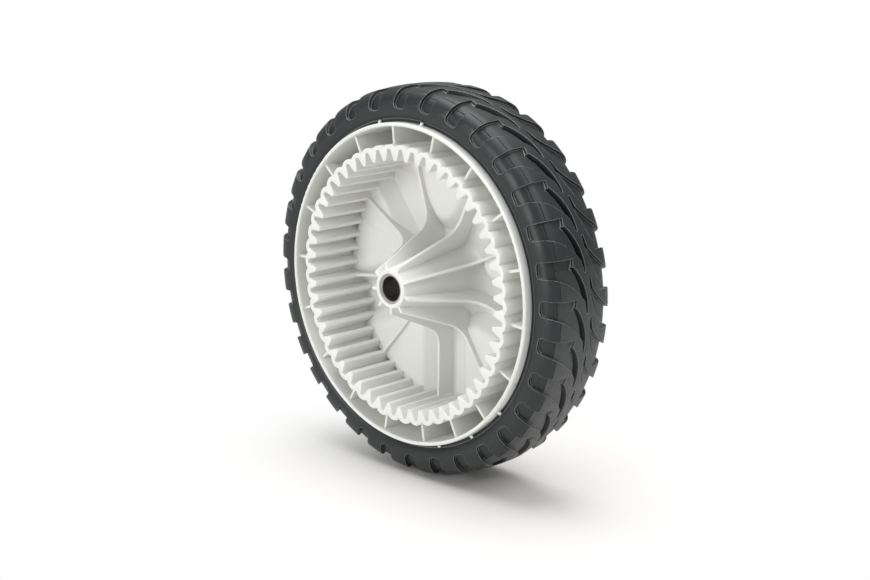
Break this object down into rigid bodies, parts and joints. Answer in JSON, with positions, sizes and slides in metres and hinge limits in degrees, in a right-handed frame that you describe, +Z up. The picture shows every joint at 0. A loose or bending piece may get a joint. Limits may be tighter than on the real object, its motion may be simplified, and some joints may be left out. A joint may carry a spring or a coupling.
{
  "type": "mower drive wheel",
  "caption": "Walk-behind mower drive wheel: white plastic wheel with an internal gear ring, a ribbed conical hub with metal bushes, and a black rubber tyre with a curved tread.",
  "frame": {"origin": "on the axle's axis, in the middle plane of the tyre", "axes": "+Y along the axle, away from the gear side (outboard); +Z up; the open gear side faces -Y"},
  "size_m": [0.2046, 0.0565, 0.2046],
  "materials": {
    "moulding": "satin",
    "tyre": "satin",
    "bush": "satin"
  },
  "bodies": {
    "root": {"wheel_moulding": "moulding", "tyre": "tyre", "inboard_bush": "bush", "outboard_bush": "bush"}
  },
  "joints": []
}
